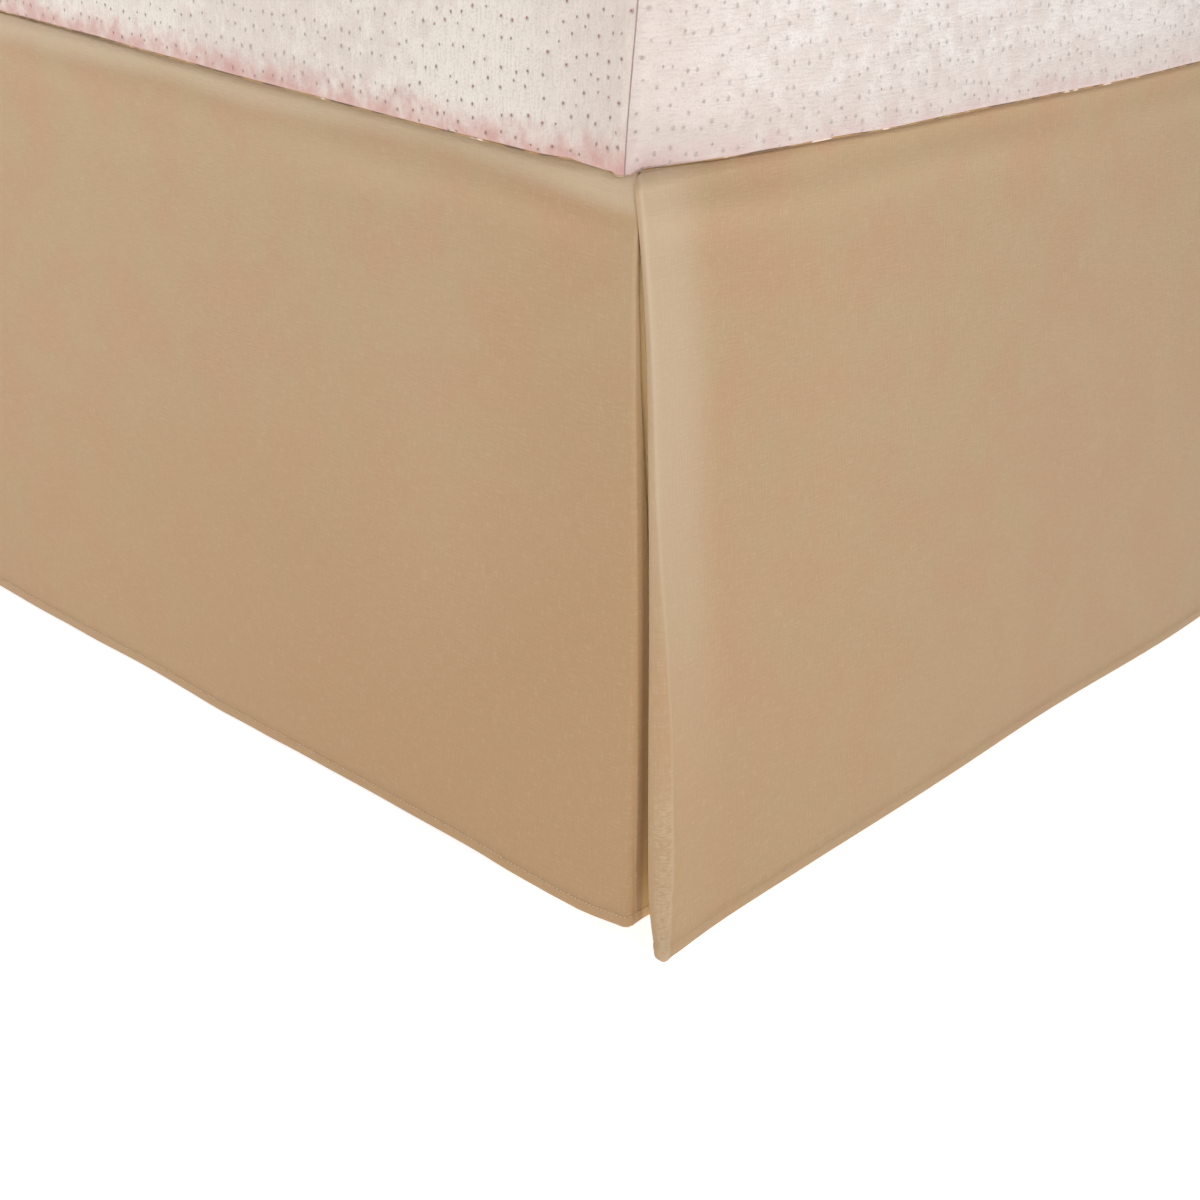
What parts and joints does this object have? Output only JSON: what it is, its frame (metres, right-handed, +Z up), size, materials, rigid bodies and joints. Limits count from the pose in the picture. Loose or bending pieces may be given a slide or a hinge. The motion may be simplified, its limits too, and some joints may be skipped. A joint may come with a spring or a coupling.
{
  "type": "bed skirt on a bed base with mattress",
  "caption": "Tailored tan bed skirt with flat panels and corner pleats, on a plain queen bed base with a quilted-knit mattress",
  "frame": {"origin": "on the floor, under the middle of the bed's outline", "axes": "+X to the bed's right side as seen from the foot, +Y from the foot towards the head, +Z up"},
  "size_m": [1.6083, 2.0447, 0.6459],
  "materials": {
    "skirt_cloth": "brushed microfibre",
    "deck_cloth": "plain weave",
    "box_cover": "woven ticking",
    "mattress_cover": "dimpled knit",
    "frame_steel": "satin black",
    "leg_steel": "satin black"
  },
  "bodies": {
    "root": {"deck": "deck_cloth", "foot_drop": "skirt_cloth", "side_drop_right": "skirt_cloth", "side_drop_left": "skirt_cloth", "box_spring": "box_cover", "mattress": "mattress_cover", "rail_right": "frame_steel", "rail_left": "frame_steel", "cross_bar_1": "frame_steel", "cross_bar_2": "frame_steel", "cross_bar_3": "frame_steel", "leg_left_1": "leg_steel", "leg_left_2": "leg_steel", "leg_left_3": "leg_steel", "leg_centre_1": "leg_steel", "leg_centre_2": "leg_steel", "leg_centre_3": "leg_steel", "leg_right_1": "leg_steel", "leg_right_2": "leg_steel", "leg_right_3": "leg_steel"}
  },
  "joints": []
}
